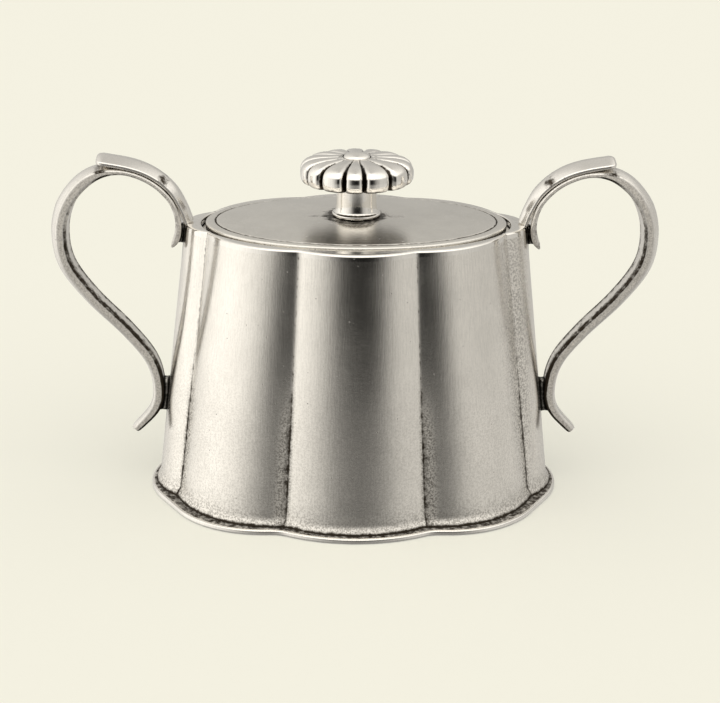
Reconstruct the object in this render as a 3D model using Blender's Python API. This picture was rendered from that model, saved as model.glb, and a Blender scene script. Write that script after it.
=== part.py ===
"""Silver sugar bowl: a lobed, tapering bowl on a flat foot, two strap scroll handles and a lift-off lid.

The frame's origin is the middle of the foot's underside. +X points to the right handle, -Y to the front
and +Z up. All lengths are in metres.
"""

import math

import bmesh
import bpy
from mathutils import Vector

# ---- driving dimensions -------------------------------------------------------------------------

GAP = 0.0003  # between pieces that are soldered or rest on each other

# The bowl's plan: eight lobes, each an arc between two creases. A crease is an (x, y) in the first quadrant.
FOOT_PLAN = {
    "end_crease": (0.0482, 0.0138),
    "front_crease": (0.0185, 0.0328),
    "end_reach": 0.0550,
    "front_reach": 0.0382,
    "shoulder_rise": 0.0062,
}
RIM_PLAN = {
    "end_crease": (0.0391, 0.0106),
    "front_crease": (0.0148, 0.0272),
    "end_reach": 0.0459,
    "front_reach": 0.0317,
    "shoulder_rise": 0.0044,
}
# The base plate's edge, which follows the wall's foot more loosely.
PLATE_PLAN = {
    "end_crease": (0.0502, 0.0174),
    "front_crease": (0.0203, 0.0352),
    "end_reach": 0.0570,
    "front_reach": 0.0408,
    "shoulder_rise": 0.0063,
}
SEGMENTS_PER_LOBE = 8

FOOT_THICKNESS = 0.00145
FOOT_EDGE_RADIUS = 0.0005

RIM_HEIGHT = 0.0758  # top of the collar
COLLAR_THICKNESS = 0.0016
COLLAR_EDGE_RADIUS = 0.0007
WALL_THICKNESS = 0.0018
SEAT_THICKNESS = 0.0013

MOUTH = (0.04155, 0.0272)  # half axes of the oval opening in the collar
SEAT_MOUTH = (0.0380, 0.0242)
LID = (0.04035, 0.0266)
LID_THICKNESS = 0.00215
LID_DOME = 0.0014
LID_EDGE_RADIUS = 0.0006
LOCATING_RING = (0.0372, 0.0234)
LOCATING_RING_WALL = 0.0012
LOCATING_RING_DEPTH = 0.0052

STUD_RADIUS = 0.0020
STUD_HOLE_RADIUS = STUD_RADIUS + GAP
WASHER_RADIUS = 0.0050
WASHER_THICKNESS = 0.0010
NUT_WIDTH = 0.0070
NUT_HEIGHT = 0.0030
STUD_BELOW_NUT = 0.0006

STEM_RADIUS = 0.0055
STEM_FOOT_RADIUS = 0.0065
STEM_FOOT_HEIGHT = 0.0008
STEM_FOOT_STEP = 0.0003  # in from the foot's rim to where the flare starts
STEM_FLARE_HEIGHT = 0.0030
STEM_SOLID_TOP = 0.0020  # metal left above the stud's bore
HEAD_BOTTOM = 0.0869
HEAD_BOTTOM_RADIUS = 0.0130
HEAD_RADIUS = 0.0152
HEAD_WIDEST = 0.0895
HEAD_TOP = 0.0937
HEAD_ROUNDING = 0.50  # 1 would make the cushion's section an ellipse, and less squares it up
BUTTON_RADIUS = 0.0036
BUTTON_TOP = 0.0950
BUTTON_RECESS = 0.0012
# The petals' widths in degrees, going round from the front towards +X. Their grooves were cut by hand.
PETAL_WIDTHS = (30.7, 29.6, 26, 24, 28, 23, 27, 25.5, 24, 27, 25, 21.7, 27.9, 20.6)
FIRST_GROOVE = 6.7  # degrees from the front towards +X
GROOVE_DEPTH = 0.0013
SEGMENTS_PER_PETAL = 4

# The right handle's centreline, as (x, z): upper tail, arch, outermost point, lower bend, curled tip.
HANDLE_PATH = (
    (0.0496, 0.0687), (0.0478, 0.0725), (0.0475, 0.0768), (0.0493, 0.0822), (0.0540, 0.0870),
    (0.0606, 0.0898), (0.0672, 0.0895), (0.0727, 0.0862), (0.0770, 0.0802), (0.0788, 0.0728),
    (0.0775, 0.0641), (0.0713, 0.0549), (0.0623, 0.0453), (0.0562, 0.0371), (0.0542, 0.0295),
    (0.0553, 0.0226), (0.0614, 0.0155),
)
HANDLE_STEPS = 3  # sections for each stretch of the path
HANDLE_WIDTHS = (0.0070, 0.0088, 0.0100, 0.0090, 0.0064, 0.0056, 0.0046)  # evenly spaced along the path
HANDLE_THICKNESS = 0.0028
HANDLE_TAIL_THICKNESS = 0.0012  # under the leaf and at the upper tail
THICKENS_FROM = 5.0  # path position, in stretches, where the strap starts to thicken
THICKENS_OVER = 2.0
TIP_OVER = 1.5  # the last stretches, over which the curled tip thins again
TIP_SHARE = 0.72  # of the thickness left at the very tip
# How far the outer face bulges out of the strap's two edges, evenly spaced along the path.
HANDLE_CROWNS = (0.0, 0.0, 0.0, 0.0008, 0.0016, 0.0014, 0.0008, 0.0004, 0.0004)

# The leaf lies on the strap from its root on the rim and leaves it near its free tip.
LEAF_ROOT = (0.0459, 0.0766)
LEAF_FREE_TIP = (0.0687, 0.0926)
LEAF_LIES_ON = (2.5, 3.3, 4.1, 4.9)  # path positions on the strap
LEAF_THICKNESS = 0.0011
LEAF_CROWN = 0.0005
LEAF_WIDTHS = (0.0058, 0.0066, 0.0076, 0.0088, 0.0098, 0.0096)
LEAF_LIFT = 1.5 * GAP  # a little more than the gap, because both pieces bend between their sections

LUG_HALF_WIDTH = 0.0026
UPPER_LUG = (0.0702, 0.0752)  # lowest and highest z
UPPER_LUG_ON = (0, 2)  # the path positions it lies between
LOWER_LUG = (0.0218, 0.0312)
LOWER_LUG_ON = (12, 16)

# ---- derived places -----------------------------------------------------------------------------

WALL_BOTTOM = FOOT_THICKNESS + GAP
COLLAR_BOTTOM = RIM_HEIGHT - COLLAR_THICKNESS
WALL_TOP = COLLAR_BOTTOM - GAP
SEAT_TOP = COLLAR_BOTTOM - GAP
SEAT_BOTTOM = SEAT_TOP - SEAT_THICKNESS
LID_BOTTOM = SEAT_TOP + GAP
LID_EDGE_TOP = LID_BOTTOM + LID_THICKNESS
LID_CROWN = LID_EDGE_TOP + LID_DOME
UNDER_CROWN = LID_BOTTOM + LID_DOME
LOCATING_RING_TOP = LID_BOTTOM - GAP / 3
WASHER_TOP = UNDER_CROWN - GAP
NUT_TOP = WASHER_TOP - WASHER_THICKNESS - GAP
STUD_BOTTOM = NUT_TOP - NUT_HEIGHT - STUD_BELOW_NUT
STEM_BOTTOM = LID_CROWN + GAP
STEM_TOP = HEAD_BOTTOM - GAP
BORE_TOP = STEM_TOP - STEM_SOLID_TOP
STUD_TOP = BORE_TOP - GAP
BUTTON_BOTTOM = HEAD_TOP - BUTTON_RECESS + GAP


# ---- materials ----------------------------------------------------------------------------------


def metal(name, colour, roughness):
    """A bare metal surface of one colour."""
    material = bpy.data.materials.new(name)
    material.use_nodes = True
    shader = material.node_tree.nodes["Principled BSDF"]
    shader.inputs["Base Color"].default_value = (*colour, 1.0)
    shader.inputs["Roughness"].default_value = roughness
    shader.inputs["Metallic"].default_value = 1.0
    return material


# ---- mesh helpers -------------------------------------------------------------------------------


def add_object(name, mesh, material):
    """Puts a closed mesh in the scene with outward normals and smooth round faces."""
    tidy = bmesh.new()
    tidy.from_mesh(mesh)
    bmesh.ops.recalc_face_normals(tidy, faces=tidy.faces)
    tidy.to_mesh(mesh)
    tidy.free()
    mesh.shade_smooth()
    mesh.set_sharp_from_angle(angle=math.radians(35))
    mesh.materials.append(material)
    obj = bpy.data.objects.new(name, mesh)
    bpy.context.scene.collection.objects.link(obj)
    return obj


def loft(name, rings, material, hollow=False):
    """Skins closed rings of equal length. A hollow loft joins its last ring to its first, with no caps."""
    size = len(rings[0])
    points = [point for ring in rings for point in ring]
    pairs = list(zip(range(len(rings)), range(1, len(rings))))
    faces = []
    if hollow:
        pairs.append((len(rings) - 1, 0))
    else:
        faces.append(list(range(size)))
        faces.append([(len(rings) - 1) * size + i for i in range(size)])
    for low, high in pairs:
        for i in range(size):
            j = (i + 1) % size
            faces.append([low * size + i, low * size + j, high * size + j, high * size + i])
    mesh = bpy.data.meshes.new(name)
    mesh.from_pydata(points, [], faces)
    return add_object(name, mesh, material)


def round_corner(radius, steps=2):
    """(inset, drop) pairs round a quarter circle, from the side face to the top face."""
    turns = [math.pi / 2 * i / steps for i in range(steps + 1)]
    return [(radius * (1 - math.cos(a)), radius * (1 - math.sin(a))) for a in turns]


# ---- the lobed plan -----------------------------------------------------------------------------


def plan_at(height):
    """The plan's driving values at a height: the wall is straight from foot to rim."""
    share = height / RIM_HEIGHT
    mixed = {}
    for key, foot in FOOT_PLAN.items():
        rim = RIM_PLAN[key]
        if isinstance(foot, tuple):
            mixed[key] = tuple(f + (r - f) * share for f, r in zip(foot, rim))
        else:
            mixed[key] = foot + (rim - foot) * share
    return mixed


def lobe_circles(plan):
    """The eight lobes as (centre, radius), going round from +X towards +Y."""
    end_x, end_y = plan["end_crease"]
    front_x, front_y = plan["front_crease"]
    reach = plan["end_reach"]
    end_centre = (reach**2 - end_x**2 - end_y**2) / (2 * (reach - end_x))
    depth = plan["front_reach"]
    front_centre = (depth**2 - front_x**2 - front_y**2) / (2 * (depth - front_y))
    chord = Vector((front_x - end_x, front_y - end_y))
    rise = plan["shoulder_rise"]
    radius = (chord.length**2 / 4 + rise**2) / (2 * rise)
    outward = Vector((chord.y, -chord.x)).normalized()
    middle = Vector((end_x + front_x, end_y + front_y)) / 2
    shoulder = middle - outward * (radius - rise)
    circles = []
    for sx, sy in ((1, 1), (-1, 1), (-1, -1), (1, -1)):
        end = (Vector((sx * end_centre, 0)), reach - end_centre)
        corner = (Vector((sx * shoulder.x, sy * shoulder.y)), radius)
        front = (Vector((0, sy * front_centre)), depth - front_centre)
        circles.append([end, corner, front])
    first, second, third, fourth = circles
    return [first[0], first[1], first[2], second[1], second[0], third[1], third[2], fourth[1]]


def outer_crossing(one, other):
    """Where two circles cross, on the side away from the axis."""
    (a, ra), (b, rb) = one, other
    between = b - a
    along = (ra**2 - rb**2 + between.length**2) / (2 * between.length)
    across = math.sqrt(ra**2 - along**2)
    foot = a + between.normalized() * along
    side = Vector((-between.y, between.x)).normalized() * across
    return max(foot + side, foot - side, key=lambda p: p.length)


def lobed_ring(height, inset=0.0, plan=None):
    """A lobed outline, by default the wall's at that height, moved inwards by inset."""
    circles = [(centre, radius - inset) for centre, radius in lobe_circles(plan or plan_at(height))]
    corners = [outer_crossing(circles[i], circles[(i + 1) % 8]) for i in range(8)]
    ring = []
    for i, (centre, radius) in enumerate(circles):
        start = corners[i - 1] - centre
        sweep = (corners[i] - centre).angle_signed(start)
        first = math.atan2(start.y, start.x)
        for step in range(SEGMENTS_PER_LOBE):
            turn = first + sweep * step / SEGMENTS_PER_LOBE
            ring.append((centre.x + radius * math.cos(turn), centre.y + radius * math.sin(turn), height))
    return ring


def oval_ring(half_axes, height, inset=0.0):
    """An oval with one point in the direction of each of the lobed ring's."""
    a, b = half_axes[0] - inset, half_axes[1] - inset
    ring = []
    for x, y, _ in lobed_ring(RIM_HEIGHT):
        turn = math.atan2(y / b, x / a)
        ring.append((a * math.cos(turn), b * math.sin(turn), height))
    return ring


def round_ring(radius, height, count=24):
    turns = [2 * math.pi * i / count for i in range(count)]
    return [(radius * math.cos(a), radius * math.sin(a), height) for a in turns]


def round_ring_facing(other, radius, height):
    """A round ring with its points in the same directions as another ring's."""
    turns = [math.atan2(y, x) for x, y, _ in other]
    return [(radius * math.cos(a), radius * math.sin(a), height) for a in turns]


# ---- the bowl -----------------------------------------------------------------------------------


def base_plate(material):
    edge = round_corner(FOOT_EDGE_RADIUS)
    rings = [lobed_ring(drop, inset, PLATE_PLAN) for inset, drop in reversed(edge)]
    for inset, drop in edge:
        rings.append(lobed_ring(FOOT_THICKNESS - drop, inset, PLATE_PLAN))
    loft("base_plate", rings, material)


def body_wall(material):
    outside = [lobed_ring(WALL_BOTTOM), lobed_ring(WALL_TOP)]
    inside = [lobed_ring(WALL_TOP, WALL_THICKNESS), lobed_ring(WALL_BOTTOM, WALL_THICKNESS)]
    loft("body_wall", outside + inside, material, hollow=True)


def rim_collar(material):
    rings = [oval_ring(MOUTH, COLLAR_BOTTOM), lobed_ring(COLLAR_BOTTOM)]
    for inset, drop in round_corner(COLLAR_EDGE_RADIUS):
        rings.append(lobed_ring(RIM_HEIGHT - drop, inset))
    rings.append(oval_ring(MOUTH, RIM_HEIGHT))
    loft("rim_collar", rings, material, hollow=True)


def lid_seat_ring(material):
    inset = WALL_THICKNESS + GAP
    rings = [oval_ring(SEAT_MOUTH, SEAT_BOTTOM), lobed_ring(SEAT_BOTTOM, inset, plan_at(SEAT_TOP))]
    rings += [lobed_ring(SEAT_TOP, inset), oval_ring(SEAT_MOUTH, SEAT_TOP)]
    loft("lid_seat_ring", rings, material, hollow=True)


# ---- the lid ------------------------------------------------------------------------------------


def domed_oval(share, height):
    """A ring at a share of the lid's half axes, raised by the dome."""
    flat = oval_ring((LID[0] * share, LID[1] * share), height)
    return [(x, y, z + LID_DOME * (1 - share**2)) for x, y, z in flat]


def lid_plate(material):
    shares = (0.97, 0.75, 0.5, 0.25)
    underside = [domed_oval(share, LID_BOTTOM) for share in reversed(shares)]
    edge = [oval_ring(LID, LID_BOTTOM + LID_EDGE_RADIUS / 2)]
    for inset, drop in round_corner(LID_EDGE_RADIUS):
        edge.append(oval_ring(LID, LID_EDGE_TOP - drop, inset))
    top = [domed_oval(share, LID_EDGE_TOP) for share in shares]
    hole = [round_ring_facing(top[-1], STUD_HOLE_RADIUS, z) for z in (LID_CROWN, UNDER_CROWN)]
    loft("lid_plate", underside + edge + top + hole, material, hollow=True)


def lid_locating_ring(material):
    low = LOCATING_RING_TOP - LOCATING_RING_DEPTH
    rings = []
    for inset, height in ((0, low), (0, LOCATING_RING_TOP), (LOCATING_RING_WALL, LOCATING_RING_TOP),
                          (LOCATING_RING_WALL, low)):
        rings.append(oval_ring(LOCATING_RING, height, inset))
    loft("lid_locating_ring", rings, material, hollow=True)


def knob_stem(material):
    """A round stem that flares into its foot, bored from below for the stud."""
    flare_start = STEM_BOTTOM + STEM_FOOT_HEIGHT
    flare_radius = STEM_FOOT_RADIUS - STEM_FOOT_STEP
    profile = [(STUD_HOLE_RADIUS, BORE_TOP), (STUD_HOLE_RADIUS, STEM_BOTTOM)]
    profile += [(STEM_FOOT_RADIUS, STEM_BOTTOM), (STEM_FOOT_RADIUS, flare_start)]
    steps = 5
    for i in range(1, steps + 1):
        turn = math.pi / 2 * i / steps
        radius = flare_radius - (flare_radius - STEM_RADIUS) * math.sin(turn)
        profile.append((radius, flare_start + STEM_FLARE_HEIGHT * (1 - math.cos(turn))))
    profile.append((STEM_RADIUS, STEM_TOP))
    loft("knob_stem", [round_ring(radius, height) for radius, height in profile], material)


def petal_grooves():
    """The azimuth of each groove, in degrees from the front towards +X."""
    turn = FIRST_GROOVE
    grooves = []
    for width in PETAL_WIDTHS:
        grooves.append(turn)
        turn += width
    return grooves


def petal_ring(radius, height, depth):
    """A ring whose radius falls by depth at each groove between two petals."""
    ring = []
    for start, width in zip(petal_grooves(), PETAL_WIDTHS):
        for step in range(SEGMENTS_PER_PETAL):
            share = step / SEGMENTS_PER_PETAL
            turn = math.radians(start + width * share)
            reach = radius - depth * abs(2 * share - 1) ** 3
            ring.append((reach * math.sin(turn), -reach * math.cos(turn), height))
    return ring


def knob_head(material):
    """A round cushion of petals with a shallow recess for the button."""
    rings = [petal_ring(STEM_RADIUS, HEAD_BOTTOM, 0)]
    rings.append(petal_ring(HEAD_BOTTOM_RADIUS, HEAD_BOTTOM, GROOVE_DEPTH))
    steps = 4
    for i in range(1, steps + 1):
        rise = (HEAD_WIDEST - HEAD_BOTTOM) * i / steps
        swell = math.sin(math.pi / 2 * i / steps) ** HEAD_ROUNDING
        radius = HEAD_BOTTOM_RADIUS + (HEAD_RADIUS - HEAD_BOTTOM_RADIUS) * swell
        rings.append(petal_ring(radius, HEAD_BOTTOM + rise, GROOVE_DEPTH))
    recess = BUTTON_RADIUS + GAP
    top_steps = 6
    for i in range(1, top_steps + 1):
        turn = math.pi / 2 * i / top_steps
        outwards = abs(math.cos(turn)) ** HEAD_ROUNDING
        radius = recess + (HEAD_RADIUS - recess) * outwards
        height = HEAD_WIDEST + (HEAD_TOP - HEAD_WIDEST) * math.sin(turn) ** HEAD_ROUNDING
        rings.append(petal_ring(radius, height, GROOVE_DEPTH * outwards))
    rings.append(petal_ring(recess, HEAD_TOP - BUTTON_RECESS, 0))
    loft("knob_head", rings, material)


def knob_button(material):
    """A low domed button."""
    rings = [round_ring(BUTTON_RADIUS, BUTTON_BOTTOM), round_ring(BUTTON_RADIUS, HEAD_TOP)]
    steps = 4
    for i in range(1, steps):
        turn = math.pi / 2 * i / steps
        height = HEAD_TOP + (BUTTON_TOP - HEAD_TOP) * math.sin(turn)
        rings.append(round_ring(BUTTON_RADIUS * math.cos(turn), height))
    rings.append(round_ring(BUTTON_RADIUS * 0.15, BUTTON_TOP))
    loft("knob_button", rings, material)


def ring_piece(name, outer, low, high, material):
    """A flat ring round the stud: outer makes its outside ring at a height."""
    inner = [round_ring(STUD_HOLE_RADIUS, z, len(outer(low))) for z in (high, low)]
    loft(name, [outer(low), outer(high)] + inner, material, hollow=True)


def hexagon(height, per_side=4):
    """A hexagon across flats NUT_WIDTH, with points along its sides."""
    corner = NUT_WIDTH / math.sqrt(3)
    corners = [(corner * math.cos(math.pi / 3 * i), corner * math.sin(math.pi / 3 * i)) for i in range(6)]
    ring = []
    for i, (x, y) in enumerate(corners):
        next_x, next_y = corners[(i + 1) % 6]
        for step in range(per_side):
            share = step / per_side
            ring.append((x + (next_x - x) * share, y + (next_y - y) * share, height))
    return ring


def knob_fastener(material):
    """The stud that holds the knob on the lid, with its washer and nut."""
    loft("knob_stud", [round_ring(STUD_RADIUS, STUD_BOTTOM), round_ring(STUD_RADIUS, STUD_TOP)], material)
    washer_bottom = WASHER_TOP - WASHER_THICKNESS
    ring_piece("knob_washer", lambda z: round_ring(WASHER_RADIUS, z), washer_bottom, WASHER_TOP, material)
    ring_piece("knob_nut", hexagon, NUT_TOP - NUT_HEIGHT, NUT_TOP, material)


# ---- the handles --------------------------------------------------------------------------------


def curve_point(knots, position):
    """The point and direction of the smooth curve through the knots, at a position counted in stretches."""
    index = min(int(position), len(knots) - 2)
    t = position - index
    here, there = Vector(knots[index]), Vector(knots[index + 1])
    before = Vector(knots[index - 1]) if index else here * 2 - there
    after = Vector(knots[index + 2]) if index + 2 < len(knots) else there * 2 - here
    start, stop = (there - before) / 2, (after - here) / 2
    point = (
        here * (2 * t**3 - 3 * t**2 + 1) + start * (t**3 - 2 * t**2 + t)
        + there * (3 * t**2 - 2 * t**3) + stop * (t**3 - t**2)
    )
    along = (
        here * (6 * t**2 - 6 * t) + start * (3 * t**2 - 4 * t + 1)
        + there * (6 * t - 6 * t**2) + stop * (3 * t**2 - 2 * t)
    )
    return point, along.normalized()


def ease(value):
    """A smooth step from 0 to 1."""
    value = min(max(value, 0.0), 1.0)
    return value * value * (3 - 2 * value)


def strap_section(centre, outward, width, thickness, crown, side):
    """A strap's section: flat inner face, two edges and a crowned outer face. side is 1 right, -1 left."""
    corner = 0.12 * thickness
    half = width / 2
    outline = [(-half, corner - thickness / 2), (corner - half, -thickness / 2)]
    outline += [(half - corner, -thickness / 2), (half, corner - thickness / 2), (half, thickness / 2)]
    for share in (0.7, 0.35, 0, -0.35, -0.7):
        outline.append((half * share, thickness / 2 + crown * (1 - share**2)))
    outline.append((-half, thickness / 2))
    ring = []
    for across, up in outline:
        point = centre + outward * up
        ring.append((side * point.x, across, point.y))
    return ring


def outward_of(along):
    """The strap's outer side: to the left when its path is walked from the upper tail."""
    return Vector((-along.y, along.x))


def between(values, share):
    """The value at a share of the way along evenly spaced values."""
    place = share * (len(values) - 1)
    low = min(int(place), len(values) - 2)
    return values[low] + (values[low + 1] - values[low]) * (place - low)


def strap_thickness(position):
    bare = ease((position - THICKENS_FROM) / THICKENS_OVER)
    before_tip = ease((len(HANDLE_PATH) - 1 - position) / TIP_OVER)
    full = HANDLE_TAIL_THICKNESS + (HANDLE_THICKNESS - HANDLE_TAIL_THICKNESS) * bare
    return full * (TIP_SHARE + (1 - TIP_SHARE) * before_tip)


def handle_scroll(name, side, material):
    rings = []
    steps = (len(HANDLE_PATH) - 1) * HANDLE_STEPS
    for i in range(steps + 1):
        position = i / HANDLE_STEPS
        centre, along = curve_point(HANDLE_PATH, position)
        crown = between(HANDLE_CROWNS, i / steps)
        width = between(HANDLE_WIDTHS, i / steps)
        rings.append(strap_section(centre, outward_of(along), width, strap_thickness(position), crown, side))
    loft(name, rings, material)


def leaf_path():
    """The leaf's centreline: from the rim, along the strap's outer face, to the lifted tip."""
    knots = [LEAF_ROOT]
    for position in LEAF_LIES_ON:
        centre, along = curve_point(HANDLE_PATH, position)
        lift = (strap_thickness(position) + LEAF_THICKNESS) / 2 + LEAF_LIFT
        knots.append(tuple(centre + outward_of(along) * lift))
    knots.append(LEAF_FREE_TIP)
    return knots


def handle_leaf(name, side, material):
    knots = leaf_path()
    rings = []
    steps = (len(knots) - 1) * HANDLE_STEPS
    for i in range(steps + 1):
        position = i / HANDLE_STEPS
        centre, along = curve_point(knots, position)
        width = between(LEAF_WIDTHS, i / steps)
        rings.append(strap_section(centre, outward_of(along), width, LEAF_THICKNESS, LEAF_CROWN, side))
    loft(name, rings, material)


def strap_face_at(height, stretch):
    """The x of the strap's bowl-side face at a height, looked for between two path positions."""
    first, last = stretch
    steps = 60
    faces = []
    for i in range(steps + 1):
        position = first + (last - first) * i / steps
        centre, along = curve_point(HANDLE_PATH, position)
        half = outward_of(along) * strap_thickness(position) / 2
        faces.append(min(centre + half, centre - half, key=lambda point: point.x))
    return min(faces, key=lambda point: abs(point.y - height)).x


def handle_lug(name, side, heights, stretch, material):
    """A web between the wall and the strap's face, which it follows."""
    low, high = heights
    rings = []
    steps = 5
    for i in range(steps + 1):
        z = low + (high - low) * i / steps
        wall = plan_at(z)["end_reach"] + GAP
        strap = strap_face_at(z, stretch) - GAP
        ring = []
        for x, y in ((wall, -1), (strap, -1), (strap, 1), (wall, 1)):
            ring.append((side * x, y * LUG_HALF_WIDTH, z))
        rings.append(ring)
    loft(name, rings, material)


def handles(silver, dark):
    for label, side in (("right", 1), ("left", -1)):
        handle_scroll("handle_scroll_" + label, side, silver)
        handle_leaf("handle_leaf_" + label, side, silver)
        handle_lug("handle_upper_lug_" + label, side, UPPER_LUG, UPPER_LUG_ON, dark)
        handle_lug("handle_lower_lug_" + label, side, LOWER_LUG, LOWER_LUG_ON, dark)


# ---- assembly -----------------------------------------------------------------------------------


def main():
    for obj in list(bpy.data.objects):
        bpy.data.objects.remove(obj)
    silver = metal("brushed_silver", (0.62, 0.60, 0.56), 0.30)
    polished = metal("polished_silver", (0.70, 0.68, 0.64), 0.18)
    dark = metal("dark_patina", (0.16, 0.15, 0.13), 0.45)
    base_plate(silver)
    body_wall(silver)
    rim_collar(polished)
    lid_seat_ring(silver)
    handles(silver, dark)
    lid_plate(silver)
    lid_locating_ring(silver)
    knob_stem(silver)
    knob_head(polished)
    knob_button(polished)
    knob_fastener(dark)


main()
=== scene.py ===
"""Looks for the silver sugar bowl: finely modelled pieces in place of the plain CAD solids, antiqued silver
materials, a pale studio and the camera. Lengths are in metres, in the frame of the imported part."""

import math

import bpy
import numpy as np
from mathutils import Matrix, Vector


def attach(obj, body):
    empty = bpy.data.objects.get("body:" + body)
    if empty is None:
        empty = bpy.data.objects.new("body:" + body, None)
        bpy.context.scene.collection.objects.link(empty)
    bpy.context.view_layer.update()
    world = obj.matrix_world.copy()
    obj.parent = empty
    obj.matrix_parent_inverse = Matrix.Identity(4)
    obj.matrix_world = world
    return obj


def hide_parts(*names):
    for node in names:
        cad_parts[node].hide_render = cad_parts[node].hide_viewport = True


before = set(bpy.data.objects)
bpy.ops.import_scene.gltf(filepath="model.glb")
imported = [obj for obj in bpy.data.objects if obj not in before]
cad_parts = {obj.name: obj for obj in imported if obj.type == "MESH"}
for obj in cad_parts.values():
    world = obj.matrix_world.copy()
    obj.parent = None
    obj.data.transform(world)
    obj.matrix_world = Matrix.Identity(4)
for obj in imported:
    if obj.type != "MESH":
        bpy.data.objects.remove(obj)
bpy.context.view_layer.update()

# ---- sizes, as in the part ----------------------------------------------------------------------

FOOT_PLAN = {
    "end_crease": (0.0482, 0.0138),
    "front_crease": (0.0185, 0.0328),
    "end_reach": 0.0550,
    "front_reach": 0.0382,
    "shoulder_rise": 0.0062,
}
RIM_PLAN = {
    "end_crease": (0.0391, 0.0106),
    "front_crease": (0.0148, 0.0272),
    "end_reach": 0.0459,
    "front_reach": 0.0317,
    "shoulder_rise": 0.0044,
}
PLATE_PLAN = {
    "end_crease": (0.0502, 0.0174),
    "front_crease": (0.0203, 0.0352),
    "end_reach": 0.0570,
    "front_reach": 0.0408,
    "shoulder_rise": 0.0063,
}
RIM_HEIGHT = 0.0758
FOOT_THICKNESS = 0.00145
COLLAR_BOTTOM = 0.0742
WALL_THICKNESS = 0.0018
MOUTH = (0.04155, 0.0272)
LID = (0.04035, 0.0266)
LID_BOTTOM = 0.0742
LID_EDGE_TOP = 0.07635
LID_DOME = 0.0014
LID_CROWN = LID_EDGE_TOP + LID_DOME
STEM_TOP = 0.0869
HEAD_TOP = 0.0937
UPPER_LUG = (0.0702, 0.0752)  # bottom and top
LOWER_LUG = (0.0218, 0.0312)

# ---- how far edges and angles are rounded -------------------------------------------------------

CREASE_SOFTENING = 0.0006
PLATE_SOFTENING = 0.0022  # where the base plate's lobes meet
FOOT_FILLET = 0.0009
FOOT_EDGE_RADIUS = 0.0005
COLLAR_EDGE_RADIUS = 0.0007
MOUTH_EDGE_RADIUS = 0.00035
LID_EDGE_RADIUS = 0.0006
STRAP_EDGE_RADIUS = 0.00055
LEAF_EDGE_RADIUS = 0.0004
EDGE_ROWS = 6  # rows of points round a rounded edge

# ---- mesh helpers -------------------------------------------------------------------------------

SHARP_FROM = math.radians(50)  # edges that bend more than this stay sharp


def grid_mesh(name, points, patina_and_shade, grain=0.0, caps=(False, False), closed_rows=False):
    """A skin over rows of points that close on themselves. points is rows x columns x 3. The third argument
    is how black each point is, from tarnish and from painted shade, and grain how rough and pitted."""
    rows, columns, _ = points.shape
    index = np.arange(rows * columns).reshape(rows, columns)
    if closed_rows:
        index = np.vstack([index, index[:1]])
    low, high = index[:-1], index[1:]
    quads = np.stack([low, np.roll(low, -1, 1), np.roll(high, -1, 1), high], -1).reshape(-1, 4)
    faces = quads.tolist()
    if caps[0]:
        faces.append(index[0][::-1].tolist())
    if caps[1]:
        faces.append(index[-1].tolist())
    mesh = bpy.data.meshes.new(name)
    mesh.from_pydata(points.reshape(-1, 3).tolist(), [], faces)
    mesh.update()
    volume = sum(face.center.dot(face.normal) * face.area for face in mesh.polygons)
    if volume < 0:
        mesh.flip_normals()
    for layer_name, values in (("patina_and_shade", patina_and_shade), ("grain", grain)):
        layer = mesh.attributes.new(layer_name, "FLOAT", "POINT")
        spread = np.broadcast_to(np.clip(values, 0, 1), (rows, columns))
        layer.data.foreach_set("value", spread.reshape(-1).astype(np.float32))
    mesh.shade_smooth()
    mesh.set_sharp_from_angle(angle=SHARP_FROM)
    return mesh


def add_piece(mesh, material, body, slot, *nodes):
    """Puts a piece in the scene in place of CAD nodes."""
    mesh.materials.append(material)
    piece = bpy.data.objects.new(mesh.name, mesh)
    bpy.context.scene.collection.objects.link(piece)
    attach(piece, body)
    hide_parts(*nodes)
    return piece


def falloff(distance, reach):
    """1 at no distance, fading to nothing a few reaches away."""
    return np.exp(-((np.abs(distance) / reach) ** 2))


def smooth(value, low, high):
    """A smooth step from 0 at low to 1 at high."""
    t = np.clip((value - low) / (high - low), 0, 1)
    return t * t * (3 - 2 * t)


def waves(x, y, z, size, seed):
    """A gentle unevenness between about -1 and 1, with bumps about size across."""
    rng = np.random.default_rng(seed)
    total = np.zeros_like(x)
    for _ in range(7):
        way = rng.normal(size=3)
        way *= rng.uniform(0.6, 1.5) / np.linalg.norm(way) * 2 * math.pi / size
        total += np.sin(way[0] * x + way[1] * y + way[2] * z + rng.uniform(0, 2 * math.pi))
    return total / 3.5


# ---- the lobed plan -----------------------------------------------------------------------------


def mixed_plan(start, stop, share):
    """A plan part of the way from one plan to another."""
    mixed = {}
    for key, first in start.items():
        last = stop[key]
        if isinstance(first, tuple):
            mixed[key] = tuple(f + (s - f) * share for f, s in zip(first, last))
        else:
            mixed[key] = first + (last - first) * share
    return mixed


def plan_at(height):
    """The wall's plan: the wall is straight from foot to rim."""
    return mixed_plan(FOOT_PLAN, RIM_PLAN, height / RIM_HEIGHT)


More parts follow.
